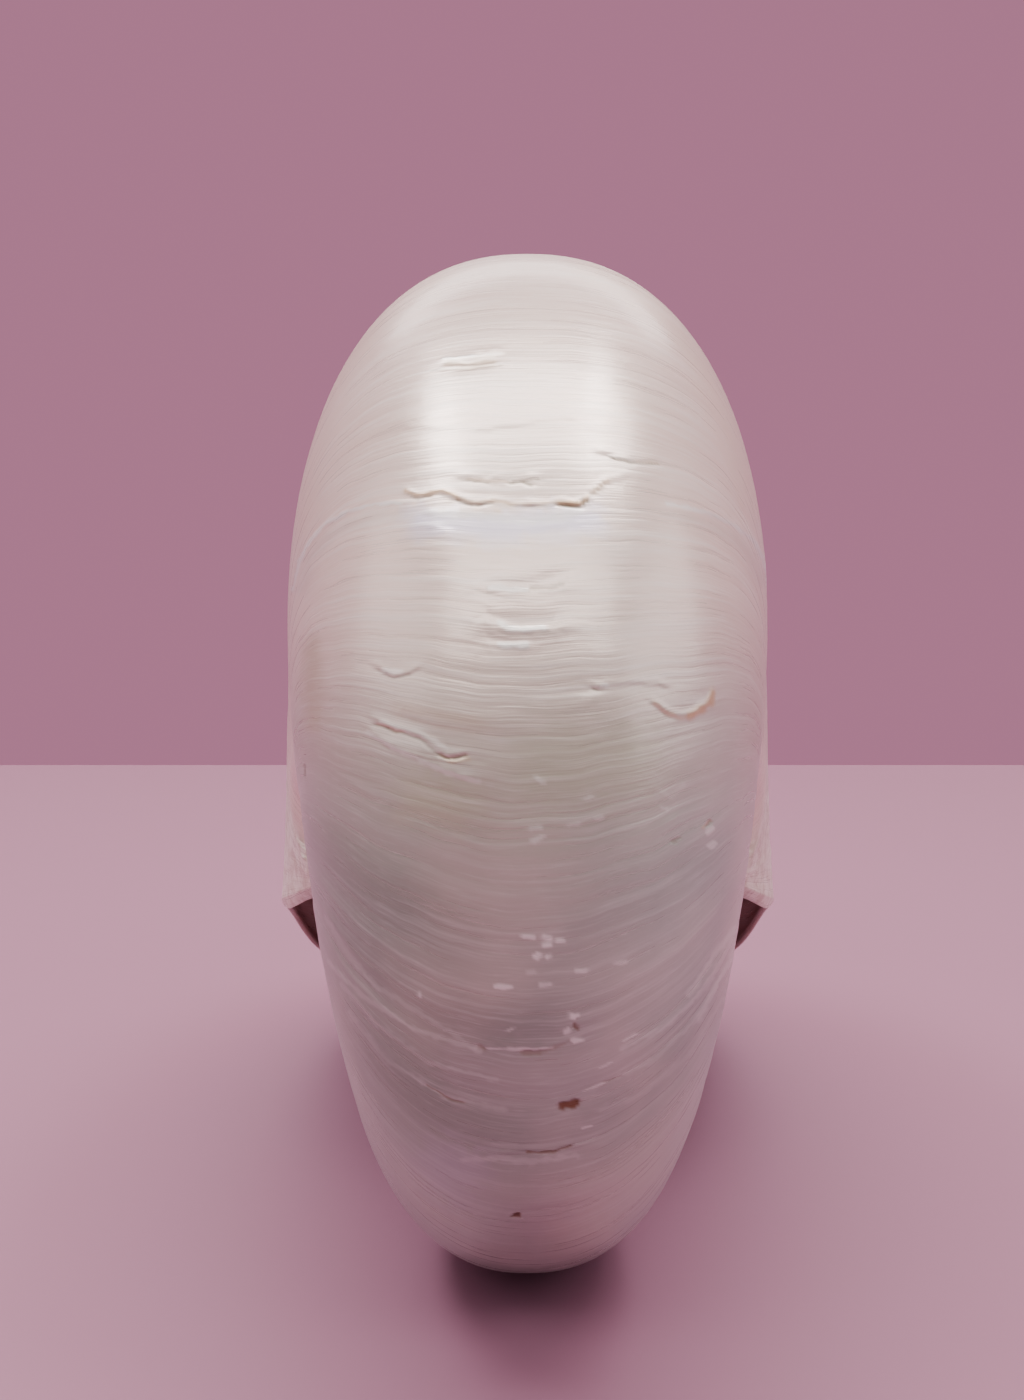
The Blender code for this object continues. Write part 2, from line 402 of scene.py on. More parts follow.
def chamber_corner(back):
    """(r, x) where the chamber's wall and its floor meet, beside the axis."""
    start = np.atleast_2d(back)[:, :1]
    tenth = HALF_POINTS // 10
    wall_x = widths(start)[:, tenth : tenth + 1]
    floor_x = widths(start + 2 * math.pi)[:, :1]
    return CORNER_RADIUS * radius(start), (wall_x + floor_x) / 2


def floor_half(back):
    """(r, x) of the older whorl under the chamber."""
    older = back + 2 * math.pi
    corner_r, corner_x = chamber_corner(back)
    r = RHO * radius(older) + FLOOR_LAYER * ease(RHO / LAYER_BLEND)
    x = widths(older) + FLOOR_LAYER
    x = corner_x + (x - corner_x) * ease(RHO / FLOOR_BLEND) ** FLOOR_BLEND_POWER
    r = np.maximum(r, corner_r + FLOOR_RISE * RHO * radius(back))
    r[:, 0] = corner_r[:, 0]
    x[:, -1] = 0.0
    return r, x


def place(r, x, angle):
    """Both halves of the rows as points, left axis end to right axis end."""
    half = np.stack([x, AXIS_Y + r * np.cos(angle), AXIS_Z + r * np.sin(angle)], axis=2)
    left = half * np.array([-1.0, 1.0, 1.0])
    return np.concatenate([left, half[:, -2::-1]], axis=1)


def both(half, sign=1.0):
    """A value per section point, for both halves of the rows."""
    return np.concatenate([sign * half, half[:, -2::-1]], axis=1)


def keel_run(back):
    """Length along the keel from the lip, for a growth line this far back."""
    return (LIP_RADIUS - radius(back)) / GROWTH * math.hypot(1, GROWTH)


def behind_rim(steps):
    """Rows this many radians back, bent as the rim is where they lie close behind it."""
    return steps + SHIFT * np.clip(1 - steps / (RIM_FADE * 2 * math.pi), 0, None)


def rows():
    """Points, growth and girth coordinates, and the inside mask, of every grid row."""
    lip = math.radians(LIP_ANGLE)
    sept = math.radians(CHAMBER_SPAN)
    parts = []

    def lay(r, x, back, inside):
        """Add rows of the outer sheet, or of the chamber where inside is 1."""
        by_rim = np.clip(1 - back / math.radians(LINE_SPAN), 0, 1) * (1 - inside)
        line = back - SHIFT * by_rim - LINE * (1 - by_rim)
        girth = GIRTH * radius(back)
        spots = place(r, x, lip + back)
        mask = np.full(spots.shape[:2], float(inside))
        parts.append((spots, both(keel_run(line)), both(girth, -1.0), mask))

    # The outer sheet, from the mouth back for one turn.
    mouth = np.linspace(0.0, FRONT_START, MOUTH_ROWS, endpoint=False)
    front = np.linspace(FRONT_START, FRONT_END, FRONT_ROWS, endpoint=False)
    keel = np.linspace(FRONT_END, 360.0, KEEL_ROWS + 1)
    back = behind_rim(np.radians(np.concatenate([mouth, front, keel]))[:, None])
    r, x = outer_half(back)
    lay(r, x, back, 0)

    # The older whorl inside the mouth, back to the last septum.
    back = np.linspace(0.0, sept, CHAMBER_ROWS + 1)[:, None] * np.ones(HALF_POINTS)
    r, x = floor_half(back)
    lay(r, x, back, 1)

    # The last septum, from the older whorl up to the chamber's wall.
    end = np.full((1, HALF_POINTS), sept)
    r0, x0 = floor_half(end)
    r1, x1 = inner_half(end, WALL)
    share = np.linspace(0.0, 1.0, SEPTUM_ROWS + 2)[1:-1, None]
    r = r0 + (r1 - r0) * share
    x = x0 + (x1 - x0) * share
    bow = 4 * share * (1 - share) * np.minimum(1.0, RHO / BOW_BLEND)
    lay(r, x, sept + bow * SEPTUM_DEPTH / np.maximum(r, BOW_RADIUS), 1)

    # The chamber's wall, forward to the rim.
    steps = np.linspace(sept, 0.0, CHAMBER_ROWS + 1)[:, None]
    thick = RIM_WALL + (WALL - RIM_WALL) * np.clip(steps / sept / RIM_WALL_SHARE, 0, 1)
    back = behind_rim(steps)
    r, x = inner_half(back, thick)
    lay(r, x, back, 1)
    rim(parts)
    return [np.concatenate([part[k] for part in parts]) for k in range(4)]


def rim(parts):
    """A rounded edge between the chamber's wall and the outer sheet, then the first row again."""
    outer = parts[0]
    wall = parts[-1]
    forward = outer[0][0] - outer[0][1]
    forward /= np.maximum(np.linalg.norm(forward, axis=1), 1e-9)[:, None]
    bulge = RIM_BULGE + EAR_BULGE * np.exp(-(((RHO - EAR_AT) / EAR_REACH) ** 2))
    bulge = both(bulge[None])[0][:, None]
    # How much of the chamber's film and painted shade reaches each point of the rim.
    film_and_shade = both(ease((RHO - FILM_AND_SHADE_FROM) / FILM_AND_SHADE_OVER)[None])
    for share in np.linspace(0.0, 1.0, RIM_ROWS + 2)[1:-1]:
        mixed = [wall[k][-1:] * (1 - share) + outer[k][:1] * share for k in range(4)]
        mixed[0] = mixed[0] + forward * bulge * math.sin(math.pi * share)
        mixed[3] = film_and_shade
        parts.append(tuple(mixed))
    parts.append(tuple(outer[k][:1] for k in range(4)))


def camera_place():
    """Where the camera stands."""
    rise = math.radians(CAMERA_RISE)
    return (
        0.0,
        AXIS_Y - CAMERA_AWAY * math.cos(rise),
        AXIS_Z + CAMERA_AWAY * math.sin(rise),
    )


def photo_place(points):
    """(across, down) of points in the photograph's pixels."""
    down = math.radians(CAMERA_DOWN)
    away = points - np.array(camera_place())
    depth = away[..., 1] * math.cos(down) - away[..., 2] * math.sin(down)
    rise = away[..., 1] * math.sin(down) + away[..., 2] * math.cos(down)
    return MIDDLE + FOCAL * away[..., 0] / depth, PHOTO_HIGH / 2 - FOCAL * rise / depth


def lattice(u, v, long, wide, seed):
    """Smooth noise from -1 to 1 over a lattice of cells of this size."""
    table = np.random.default_rng(seed).uniform(-1.0, 1.0, (256, 256))
    u = u / long
    v = v / wide
    iu = np.floor(u).astype(int)
    iv = np.floor(v).astype(int)
    fu = ease(u - iu)
    fv = ease(v - iv)
    a = table[iu % 256, iv % 256]
    b = table[(iu + 1) % 256, iv % 256]
    c = table[iu % 256, (iv + 1) % 256]
    d = table[(iu + 1) % 256, (iv + 1) % 256]
    return (a * (1 - fu) + b * fu) * (1 - fv) + (c * (1 - fu) + d * fu) * fv


# Ledges where growth stopped and started again, as they lie in the photograph:
# (pixels along the edge, depth of the step in metres, how far down the step fades, in pixels).
LEDGES = (
    (((436, 360), (455, 357), (474, 355), (504, 352)), 0.00026, 22),
    (((400, 428), (430, 428), (478, 431), (552, 420), (600, 418)), 0.00010, 14),
    (((596, 452), (607, 454), (635, 461), (662, 462)), 0.00024, 22),
    (
        ((402, 491), (416, 497), (429, 494), (441, 491), (455, 497), (466, 502), (479, 504))
        + ((492, 501), (511, 505), (551, 505), (559, 502), (572, 504), (583, 505), (590, 499)),
        0.00022,
        40,
    ),
    (((582, 501), (598, 488), (608, 481), (628, 476)), 0.00011, 24),
    (((298, 575), (302, 560), (311, 540), (327, 523), (347, 511), (373, 504), (400, 503)), 0.00016, 18),
    (((668, 503), (690, 507), (713, 514), (736, 525), (756, 541), (765, 562)), 0.00016, 18),
    (((458, 476), (465, 478), (489, 481), (500, 479), (522, 480), (541, 478)), 0.00026, 14),
    (((368, 665), (377, 669), (393, 677), (410, 673), (420, 668)), 0.00018, 16),
    (((586, 684), (598, 688), (606, 686), (629, 683), (650, 685), (674, 687)), 0.00018, 16),
    (((366, 718), (386, 727), (402, 730), (419, 737), (436, 751), (448, 757), (470, 754)), 0.00021, 20),
    (((362, 729), (380, 741), (403, 752), (443, 771), (480, 782)), 0.00018, 18),
    (((650, 701), (669, 713), (683, 718), (697, 714), (709, 705), (716, 692)), 0.00034, 24),
    (((474, 1046), (487, 1050), (521, 1050), (552, 1049), (572, 1042)), 0.00016, 26),
    (((455, 1161), (498, 1158), (528, 1155), (553, 1153), (577, 1150), (600, 1150)), 0.00016, 20),
)

# Soft wrinkles across the middle: (pixels along the crease, depth in metres, half-width in pixels).
WRINKLES = (
    (((430, 530), (470, 538), (520, 541), (575, 536), (610, 528)), 0.00010, 5),
    (((440, 545), (464, 557), (492, 564), (530, 564), (570, 556), (600, 545)), 0.00018, 6),
    (((450, 562), (490, 573), (513, 576), (537, 572), (575, 560)), 0.00018, 5),
    (((430, 574), (473, 589), (506, 597), (530, 597), (560, 590), (590, 578)), 0.00022, 7),
    (((470, 602), (500, 611), (530, 611), (565, 605)), 0.00012, 5),
    (((460, 614), (497, 629), (511, 635), (540, 634), (563, 630), (590, 618)), 0.00026, 6),
    (((445, 632), (480, 645), (505, 652), (537, 650), (570, 645), (600, 640)), 0.00015, 6),
    (((420, 654), (480, 664), (520, 667), (580, 660), (640, 652)), 0.00010, 6),
    (((390, 680), (430, 687), (480, 693), (520, 690)), 0.00010, 6),
    (((395, 694), (450, 703), (520, 708), (600, 702)), 0.00010, 7),
    (((400, 705), (430, 716), (470, 722), (520, 722)), 0.00014, 7),
    (((385, 741), (420, 752), (470, 771), (510, 775)), 0.00010, 7),
)


# Marks in the nacre, by where the photograph shows them: (strength, half-width in pixels, path). Some are
# painted shadow lines, highlights and glints, as said above each.
CRACKS_AND_SHADOW_LINES = (
    # Painted shadow lines just under the edges of the ledges near the top, where their steps face down.
    (0.35, 1.2, ((406, 493), (416, 498), (429, 495))),
    (0.55, 1.2, ((455, 498), (466, 503), (479, 505), (492, 502))),
    (0.25, 0.9, ((511, 506), (533, 506), (559, 503))),
    (0.75, 1.4, ((559, 504), (572, 505), (582, 507), (587, 500))),
    (0.22, 1.2, ((590, 496), (607, 482))),
    (0.35, 1.0, ((465, 479), (489, 482))),
    (0.7, 1.6, ((509, 482), (522, 481), (532, 484))),
    (0.6, 1.0, ((524, 480), (539, 478))),
    (0.45, 0.9, ((612, 457), (635, 462), (660, 463))),
    (0.3, 2.2, ((444, 362), (470, 363), (494, 359))),
    (0.25, 1.0, ((432, 369), (463, 368), (500, 364))),
    # Dark marks on the ridges at the left and beside the lower ledges.
    (0.5, 1.4, ((374, 724), (386, 728))),
    (0.65, 1.8, ((437, 753), (448, 758), (464, 755))),
    (0.35, 1.4, ((386, 728), (419, 739), (437, 753))),
    (0.5, 1.2, ((593, 688), (600, 690))),
    (0.35, 1.0, ((377, 670), (393, 678), (409, 674))),
    # Painted shade just under the wrinkles' crests.
    (0.2, 1.1, ((497, 631), (511, 635), (539, 634), (563, 630))),
    (0.15, 1.0, ((478, 591), (506, 598), (526, 597))),
    (0.4, 2.6, ((530, 588), (546, 587), (561, 584))),
    # Cracks, brown lines and specks.
    (0.65, 1.0, ((425, 1086), (450, 1101), (464, 1104))),
    (0.95, 1.2, ((528, 1154), (537, 1155), (553, 1154), (572, 1147))),
    (0.5, 2.6, ((480, 1048), (484, 1050))),
    (0.5, 2.2, ((523, 1054), (540, 1054))),
    (0.35, 2.0, ((545, 1052), (564, 1045))),
    (0.55, 1.8, ((708, 826), (712, 821))),
    (0.45, 1.8, ((674, 842), (681, 838))),
    (0.6, 1.0, ((303, 765), (303, 775))),
    (0.4, 1.0, ((606, 1083), (622, 1077))),
    (0.55, 1.2, ((290, 869), (296, 865))),
    (0.45, 1.0, ((302, 845), (304, 853))),
    (0.5, 1.0, ((752, 876), (753, 879))),
)
RUST = (
    (1.0, 3.9, ((563, 1108), (577, 1105))),
    (0.7, 1.9, ((575, 1026), (577, 1029))),
    (1.0, 2.2, ((513, 1219), (518, 1216))),
)
AMBER = (
    (0.50, 2.2, ((655, 703), (669, 713), (683, 718), (695, 715))),
    (0.95, 3.2, ((690, 716), (700, 712), (711, 703), (714, 692))),
    (0.85, 2.2, ((404, 490), (416, 495), (430, 492), (442, 489), (455, 495))),
    (0.60, 1.8, ((455, 496), (466, 500), (479, 502), (492, 499), (511, 503))),
    (0.50, 1.6, ((511, 503), (533, 503), (559, 500))),
    (0.95, 2.4, ((560, 501), (572, 502), (583, 503), (587, 496))),
    (0.55, 2.2, ((594, 490), (601, 485), (609, 480))),
    (0.35, 3.0, ((462, 508), (500, 510))),
    (0.40, 1.6, ((466, 478), (489, 480), (507, 480))),
    (0.45, 2.2, ((440, 755), (450, 761), (466, 758))),
    (0.45, 1.8, ((377, 724), (386, 727), (402, 732))),
    (0.30, 1.4, ((610, 456), (635, 461), (660, 462))),
    (0.35, 2.6, ((446, 364), (470, 364), (494, 360))),
    (0.40, 2.6, ((750, 873), (756, 879))),
    (0.45, 1.8, ((704, 828), (712, 821))),
)
CHALK_AND_HIGHLIGHTS = (
    # Painted highlights along the lit edges of the top and right ledges.
    (0.8, 1.2, ((442, 358), (474, 355))),
    (0.5, 1.0, ((474, 355), (503, 352))),
    (0.6, 1.0, ((606, 454), (634, 460))),
    # Painted iridescent sheen: a wide pale band under the main ledge.
    (0.5, 4.5, ((430, 512), (470, 514), (530, 520), (560, 515), (580, 510))),
    # Painted glints on the wrinkles' crests.
    (0.7, 3.0, ((490, 588), (525, 589))),
    (0.9, 3.0, ((498, 621), (507, 627), (524, 629), (545, 627))),
    (0.9, 2.8, ((499, 644), (528, 645))),
    # Painted highlights along the edges of the ledges and ridges lower down.
    (0.6, 2.4, ((602, 685), (609, 686))),
    (0.5, 2.4, ((382, 671), (400, 671))),
    (0.35, 2.6, ((380, 722), (420, 733), (446, 748))),
    (0.35, 2.2, ((367, 733), (403, 752), (443, 771), (478, 781))),
    # Chalky white specks, then pale arcs along the growth lines.
    (0.40, 2.5, ((537, 776), (543, 783))),
    (0.32, 2.3, ((585, 799), (592, 797))),
    (0.40, 2.5, ((531, 828), (540, 828))),
    (0.48, 2.8, ((534, 841), (542, 837))),
    (0.32, 1.9, ((568, 826), (580, 823))),
    (0.32, 2.1, ((596, 819), (602, 817))),
    (0.16, 2.5, ((661, 789), (672, 797), (685, 785))),
    (0.32, 2.1, ((663, 808), (668, 809))),
    (0.46, 2.7, ((709, 833), (714, 828))),
    (0.38, 2.3, ((711, 847), (716, 843))),
    (0.64, 2.5, ((523, 937), (532, 937))),
    (0.56, 2.5, ((544, 937), (549, 938))),
    (0.56, 2.3, ((557, 941), (562, 941))),
    (0.72, 2.7, ((545, 946), (549, 945))),
    (0.64, 2.7, ((536, 957), (538, 954))),
    (0.64, 2.7, ((547, 957), (549, 956))),
    (0.24, 2.5, ((530, 973), (534, 972))),
    (0.48, 2.5, ((577, 972), (585, 972))),
    (0.32, 1.9, ((616, 963), (627, 961))),
    (0.64, 2.5, ((497, 987), (510, 987))),
    (0.40, 2.3, ((541, 985), (551, 984))),
    (0.48, 2.1, ((419, 995), (420, 997))),
    (0.32, 2.3, ((509, 1031), (513, 1029))),
    (0.64, 2.7, ((572, 1016), (576, 1016))),
    (0.48, 2.3, ((566, 1032), (569, 1031))),
    (0.56, 2.3, ((573, 1042), (582, 1041))),
    (0.40, 1.3, ((487, 1049), (521, 1050), (552, 1049))),
    (0.40, 1.3, ((624, 1042), (637, 1035))),
    (0.40, 0.9, ((600, 1069), (614, 1063))),
    (0.40, 0.9, ((585, 1092), (608, 1083))),
    (0.48, 0.9, ((583, 1130), (592, 1127))),
    (0.18, 2.5, ((462, 1162), (498, 1160), (532, 1164), (577, 1158))),
    (0.12, 2.4, ((325, 919), (342, 949), (375, 987), (430, 1021), (477, 1050))),
    (0.15, 2.1, ((328, 963), (362, 997), (414, 1030), (481, 1052))),
    (0.12, 2.2, ((340, 984), (377, 1026), (429, 1064), (496, 1081))),
    (0.12, 2.0, ((347, 1013), (384, 1060), (444, 1097), (504, 1111))),
    (0.16, 2.2, ((735, 940), (706, 989), (668, 1026), (623, 1049))),
    (0.14, 2.1, ((732, 961), (698, 1019), (657, 1060), (616, 1079))),
    (0.12, 2.1, ((724, 999), (691, 1056), (646, 1094), (601, 1112))),
    (0.20, 2.8, ((690, 995), (717, 953), (738, 928))),
    (0.18, 2.3, ((700, 1020), (724, 975), (738, 945))),
    # Painted highlights along the lit edges of the ledges on both flanks.
    (0.75, 1.6, ((291, 590), (297, 562), (308, 539), (325, 522), (347, 510), (373, 503), (400, 502))),
    (0.75, 1.6, ((668, 503), (690, 507), (713, 514), (736, 525), (756, 541), (766, 562), (770, 590))),
)
# Broad tints: (strength, half-width in pixels, colour, path).
TINTS = (
    (0.70, 34, (0.47, 0.44, 0.34), ((545, 762), (625, 758))),
    (0.60, 22, (0.50, 0.45, 0.33), ((420, 798), (455, 806))),
    # Painted iridescent sheen: a lilac band under the main ledge.
    (0.80, 14, (0.76, 0.71, 0.88), ((418, 520), (500, 526), (590, 519))),
    # A tan stain at the left edge, then broad patches of colour.
    (0.60, 9, (0.47, 0.39, 0.26), ((311, 645), (310, 690), (314, 722))),
    (0.45, 9, (0.62, 0.47, 0.37), ((400, 709), (440, 718), (476, 722))),
    (0.14, 40, (0.58, 0.42, 0.42), ((450, 860), (520, 890))),
    (0.16, 30, (0.54, 0.42, 0.46), ((470, 1075), (560, 1085), (620, 1065))),
    (0.35, 26, (0.42, 0.36, 0.46), ((440, 1165), (460, 1175))),
    (0.14, 22, (0.54, 0.40, 0.46), ((540, 1222), (620, 1200))),
    (0.30, 16, (0.60, 0.52, 0.42), ((560, 1240), (600, 1225))),
    (0.35, 8, (0.60, 0.50, 0.40), ((455, 366), (495, 362))),
    # Painted shade just under the lit edges of the ledges on both flanks.
    (0.35, 6, (0.58, 0.50, 0.45), ((299, 590), (308, 556), (327, 535), (350, 522), (376, 515), (402, 513))),
    (0.35, 6, (0.58, 0.50, 0.45), ((668, 514), (690, 518), (712, 525), (734, 537), (752, 554), (762, 580))),
    # Painted light: a warm cream glow of light through the thin top edges of the outline.
    (0.45, 15, (0.84, 0.64, 0.50), ((590, 262), (655, 300), (700, 355), (732, 425), (752, 500))),
    (0.40, 15, (0.84, 0.64, 0.50), ((440, 268), (380, 308), (335, 370), (308, 440), (298, 520))),
)

# What is painted on the points, first to last: (table, softness of its edges, colour).
# The broad tints have their colours in the table.
TINT_LAYER = ((TINTS, 0.9, None),)
MARK_LAYER = (
    (CHALK_AND_HIGHLIGHTS, 0.6, CHALK_AND_HIGHLIGHT_WHITE),
    (AMBER, 0.8, AMBER_BROWN),
    (CRACKS_AND_SHADOW_LINES, 0.6, CRACK_AND_SHADOW_BROWN),
    (RUST, 0.4, RUST_RED),
)


def along(path, across):
    """(height of the path in pixels, fade towards its two ends) at each place across."""
    xs = [spot[0] for spot in path]
    ys = [spot[1] for spot in path]
    level = np.interp(across, xs, ys)
    fade_in = ease((across - xs[0]) / PATH_FADE + PATH_START)
    fade_out = ease((xs[-1] - across) / PATH_FADE + PATH_START)
    return level, fade_in * fade_out


def distance(across, down, first, second):
    """Pixels from each place to a straight piece of a path."""
    span = np.array(second, float) - np.array(first, float)
    off_x = across - first[0]
    off_y = down - first[1]
    share = np.clip((off_x * span[0] + off_y * span[1]) / max(span @ span, 1e-6), 0, 1)
    return np.hypot(off_x - share * span[0], off_y - share * span[1])


def stroke(across, down, path, half, soft):
    """Mask of one mark, 1 along its path and falling to 0 over its soft edge."""
    found = np.zeros(across.shape)
    for first, second in zip(path, path[1:]):
        found = np.maximum(found, 1 - distance(across, down, first, second) / (half * (1 + soft)))
    return ease(found * (1 + soft) / (2 * soft))


def near_marks(across, down):
    """Where a small mark or a ledge lies close by."""
    close = [(path, LEDGE_MARGIN) for path, _, _ in LEDGES]
    for table in (CHALK_AND_HIGHLIGHTS, AMBER, CRACKS_AND_SHADOW_LINES, RUST):
        for strength, half, path in table:
            margin = MARK_MARGIN if strength > FAINT_MARK else MARK_MARGIN / 3
            close.append((path, half + margin))
    found = np.zeros(across.shape, bool)
    for path, reach in close:
        for first, second in zip(path, path[1:]):
            found |= distance(across, down, first, second) < reach
    return found


def painted(across, down, seen):
    """(tint, mark) of the nacre at each place, each a colour with its strength as alpha."""
    sideways = MARK_BY * lattice(across, down, *MARK_SIDEWAYS)
    upwards = MARK_BY * lattice(across, down, *MARK_UPWARDS)
    spread = 1 + MARK_SPREAD_BY * lattice(across, down, *MARK_SPREAD)
    found = []
    for layer in TINT_LAYER, MARK_LAYER:
        colour = np.full(across.shape + (3,), BLANK)
        strength = np.zeros(across.shape)
        for table, soft, paint in layer:
            for item in table:
                power, half, path = item[0], item[1], item[-1]
                shade = np.array(paint or item[2])
                xs, ys = zip(*path)
                reach = MARK_REACH * half + MARK_REACH_MORE
                close = seen & (across > min(xs) - reach) & (across < max(xs) + reach)
                close &= (down > min(ys) - reach) & (down < max(ys) + reach)
                x = across[close] + sideways[close] * min(1.0, half / 2)
                y = down[close] + upwards[close] * min(1.0, half / 2)
                mask = power * stroke(x, y, path, half * spread[close], soft)
                below = strength[close] * (1 - mask)
                total = np.maximum(mask + below, 1e-6)
                mixed = shade * mask[:, None] + colour[close] * below[:, None]
                colour[close] = np.where(total[:, None] > 1e-4, mixed / total[:, None], shade)
                strength[close] = mask + below
        found.append(np.concatenate([colour, strength[:, None]], axis=1))
    return found


def relief(across, down, growth, girth, mark, seen):
    """How far the skin lies below the solid's surface, in metres."""
    wander = lattice(growth, girth, *WANDER)
    drawn = growth + SWAY_BY * lattice(growth, girth, *SWAY)
    coarse = lattice(drawn, girth, *COARSE)
    fine = lattice(drawn, girth, *FINE)
    old = ease((growth - OLD_FROM) / OLD_OVER)
    depth = RELIEF_ROOM + WANDER_DEPTH * wander
    depth = depth + (COARSE_DEPTH + OLD_DEPTH * old) * coarse
    depth = depth + (FINE_DEPTH + OLD_DEPTH * old) * fine
    ragged = RAGGED_BY * lattice(across, down, *RAGGED)
    broken = BROKEN_FROM + BROKEN_BY * lattice(across, down, *BROKEN)
    for path, step, fades in LEDGES:
        level, fade = along(path, across)
        fade = seen * fade * broken * step
        below = down - level - ragged
        wide = np.clip(1 - below / fades, 0, 1) ** 2
        depth = depth + fade * LEDGE_SINK * ease((below + LEDGE_LEAD) / LEDGE_SOFT) * wide
        depth = depth - fade * LEDGE_SWELL * np.exp(-(((below + LEDGE_SOFT) / LEDGE_SOFT) ** 2))
    for path, step, half in WRINKLES:
        level, fade = along(path, across)
        off = (down - level - WRINKLE_RAGGED * ragged) / half + WRINKLE_LIFT
        crest = np.exp(-((off / np.where(off < 0, WRINKLE_ABOVE, WRINKLE_BELOW)) ** 2))
        depth = depth - seen * fade * step * WRINKLE_SWELL * crest
    dark = ease((DARK_MARK_RED - mark[:, 0]) / DARK_MARK_RED_OVER)
    return depth + DARK_MARK_DEPTH * mark[:, 3] * dark - PALE_MARK_HEIGHT * mark[:, 3] * (1 - dark)


def normals(points):
    """The grid's outward normals."""
    size = np.cross(np.gradient(points, axis=0), np.gradient(points, axis=1))
    return size / np.maximum(np.linalg.norm(size, axis=2, keepdims=True), 1e-12)


def between(fields, row, column):
    """The grid's values at places between its points, by cubic steps."""
    taps = []
    for at, count in ((row, fields.shape[0]), (column, fields.shape[1])):
        first = np.clip(np.floor(at + 1e-4).astype(int), 1, count - 3)
        t = at - first
        shares = (
            -t * (t - 1) * (t - 2) / 6,
            (t + 1) * (t - 1) * (t - 2) / 2,
            -(t + 1) * t * (t - 2) / 2,
            (t + 1) * t * (t - 1) / 6,
        )
        taps.append((first, shares))
    (r, by_row), (c, by_column) = taps
    total = 0.0
    for i in range(4):
        for j in range(4):
            total = total + (by_row[i] * by_column[j])[:, None] * fields[r + i - 1, c + j - 1]
    return total


def select_none():
    bpy.ops.object.select_all(action="DESELECT")


def in_front(points, normal):
    """Which points on the shell's front face the camera."""
    towards = np.array(camera_place()) - points
    return ((normal * towards).sum(axis=-1) > 0) & (points[..., 1] < AXIS_Y + FRONT_REACH)


def write(mesh, name, kind, values):
    """Keep values on the mesh's points, as an attribute of this name."""
    made = mesh.attributes.new(name, kind, "POINT")
    field = "value" if kind == "FLOAT" else "color"
    made.data.foreach_set(field, np.ascontiguousarray(values, np.float32).reshape(-1))


def read(mesh, name):
    """The numbers that write kept under this name."""
    found = np.empty(len(mesh.vertices), np.float32)
    mesh.attributes[name].data.foreach_get("value", found)
    return found.astype(float)


def start_grid(count, wide):
    """A flat grid primitive, whose points know their row and column."""
    select_none()
    bpy.ops.mesh.primitive_grid_add(x_subdivisions=wide - 1, y_subdivisions=count - 1, size=0.1)
    shell = bpy.context.object
    shell.name = "shell_skin"
    shell.data.name = "shell_skin"
    numbers = np.indices((count, wide)).reshape(2, -1)
    write(shell.data, "row", "FLOAT", numbers[0])
    write(shell.data, "column", "FLOAT", numbers[1])
    return shell


def cut_marked(mesh, base, normal):
    """Cut the cells of the outer sheet that hold a small mark or a ledge in view."""
    marked = near_marks(*photo_place(base)) & in_front(base, normal)
    marked[MOUTH_ROWS + FRONT_ROWS + KEEL_ROWS :] = False
    corners = np.empty(len(mesh.polygons) * 4, np.int32)
    mesh.polygons.foreach_get("vertices", corners)
    bpy.ops.object.mode_set(mode="EDIT")
    bpy.ops.mesh.select_all(action="DESELECT")
    bpy.ops.object.mode_set(mode="OBJECT")
    mesh.polygons.foreach_set("select", marked.reshape(-1)[corners].reshape(-1, 4).any(axis=1))
    bpy.context.tool_settings.mesh_select_mode = (False, False, True)
    bpy.ops.object.mode_set(mode="EDIT")
    bpy.ops.mesh.subdivide(number_cuts=MARK_CUTS, smoothness=0.0)
    bpy.ops.object.mode_set(mode="OBJECT")


def lay_skin(mesh, base, normal, growth, girth, inside):
    """Move the flat grid's points to their places on the shell, and paint them."""
    from_axis = np.abs(girth[:, :1]) - np.abs(girth)
    grid = np.concatenate([base, normal, np.stack([growth, girth, inside, from_axis], 2)], 2)
    at = between(grid, read(mesh, "row"), read(mesh, "column"))
    points, normal = at[:, :3], at[:, 3:6]
    normal /= np.maximum(np.linalg.norm(normal, axis=1, keepdims=True), 1e-9)
    growth, girth, inside, from_axis = at[:, 6:].T
    outside = inside < 0.5
    across, down = photo_place(points)
    seen = in_front(points, normal)
    tint, mark = painted(across, down, seen)
    depth = relief(across, down, growth, girth, mark, seen) * outside
    ear = ease((EAR_LENGTH - growth) / EAR_LENGTH_OVER) * outside
    ear = ear * ease((EAR_GIRTH - from_axis) / EAR_GIRTH_OVER)
    depth = depth + CRUMB_DEPTH * ear * np.abs(lattice(points[:, 1], points[:, 2], *CRUMBS))
    depth = depth * ease(points[:, 2] / PLAIN_WITHIN) * ease(from_axis / PLAIN_WITHIN)
    points = np.clip(points - normal * depth[:, None], np.array(cad_low), np.array(cad_high))
    mesh.vertices.foreach_set("co", points.reshape(-1).astype(np.float32))
    write(mesh, "hollow", "FLOAT", inside)
    write(mesh, "ear", "FLOAT", ear)
    write(mesh, "tint", "FLOAT_COLOR", tint)
    write(mesh, "mark", "FLOAT_COLOR", mark)
    mesh.update()
    ends = np.empty(len(mesh.loops), np.int32)
    mesh.loops.foreach_get("vertex_index", ends)
    mesh.uv_layers[0].name = "coil"
    laid = np.stack([growth[ends], girth[ends]], axis=1)
    mesh.uv_layers[0].uv.foreach_set("vector", laid.reshape(-1).astype(np.float32))


